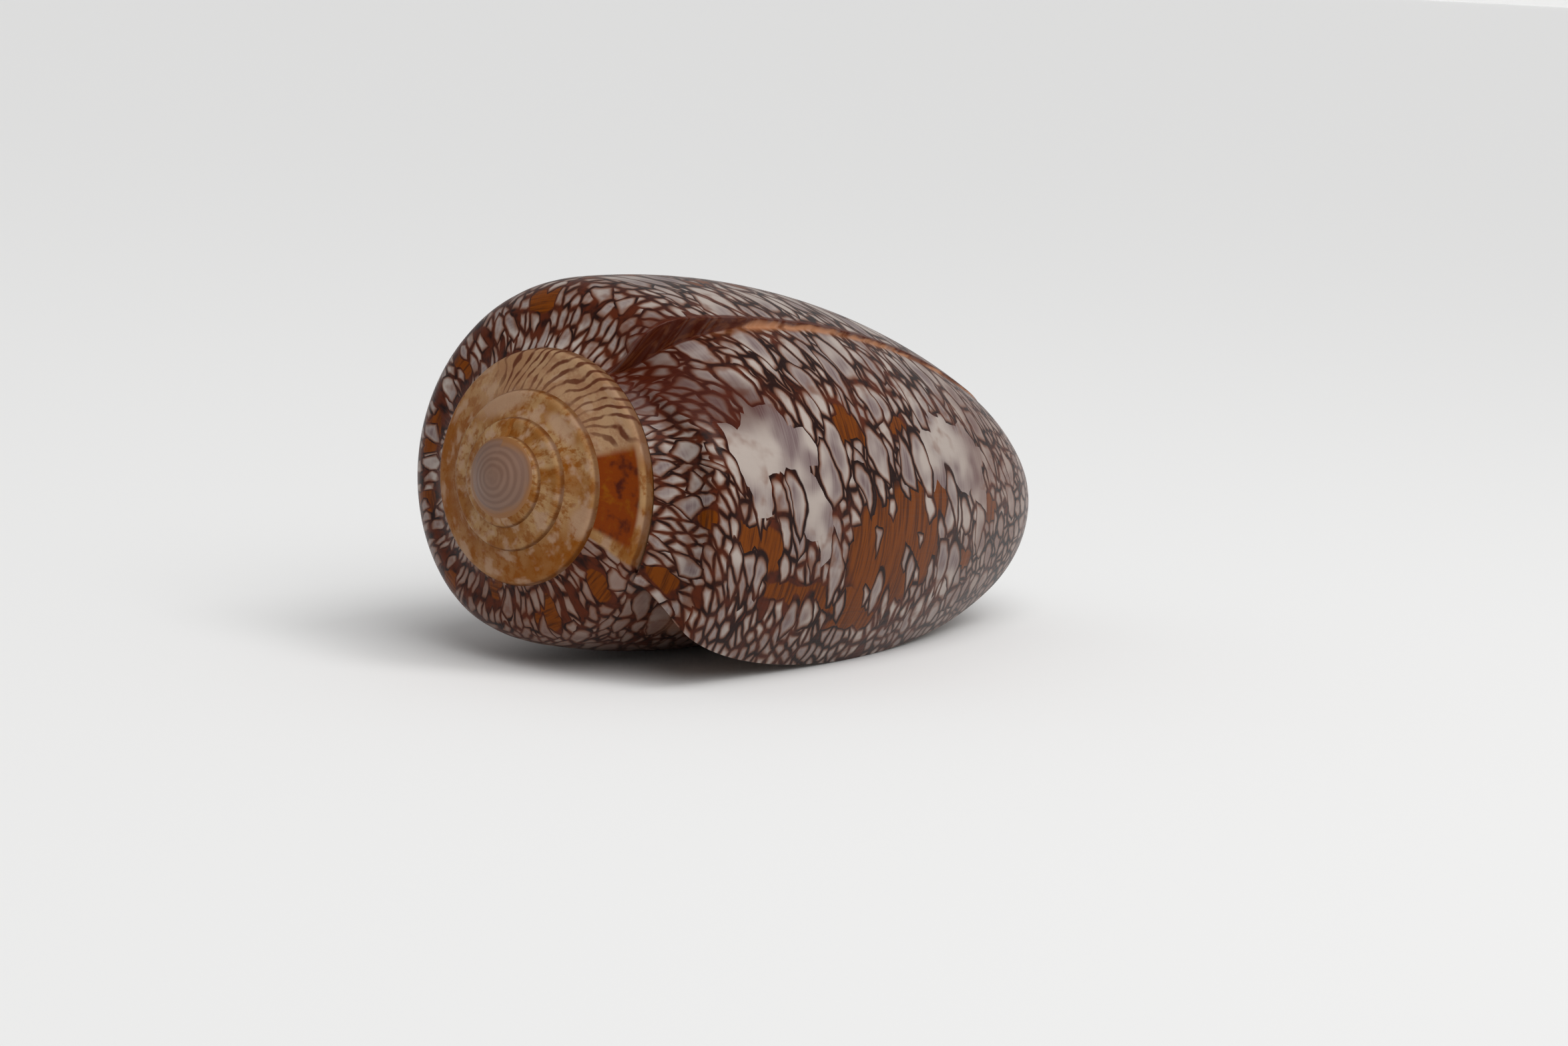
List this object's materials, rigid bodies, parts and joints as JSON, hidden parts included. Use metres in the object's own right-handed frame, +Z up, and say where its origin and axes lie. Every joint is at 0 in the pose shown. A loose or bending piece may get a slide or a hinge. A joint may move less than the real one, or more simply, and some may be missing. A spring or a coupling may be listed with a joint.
{
  "type": "cone shell",
  "caption": "Right-handed cone sea shell with a low stepped spire, a healed growth break and a brown tent pattern, lying on its aperture.",
  "frame": {"origin": "centre of the bounding box, on the surface that the shell lies on", "axes": "+Z up; +X towards the narrow end, along the shell's axis as it lies; the spire faces -X and the lip's edge is on the -Y side"},
  "size_m": [0.0842, 0.0422, 0.0392],
  "materials": {
    "shell": "semi-gloss natural shell, white tent marks outlined in dark brown on orange-brown"
  },
  "bodies": {
    "root": {"cone_shell": "shell"}
  },
  "joints": []
}
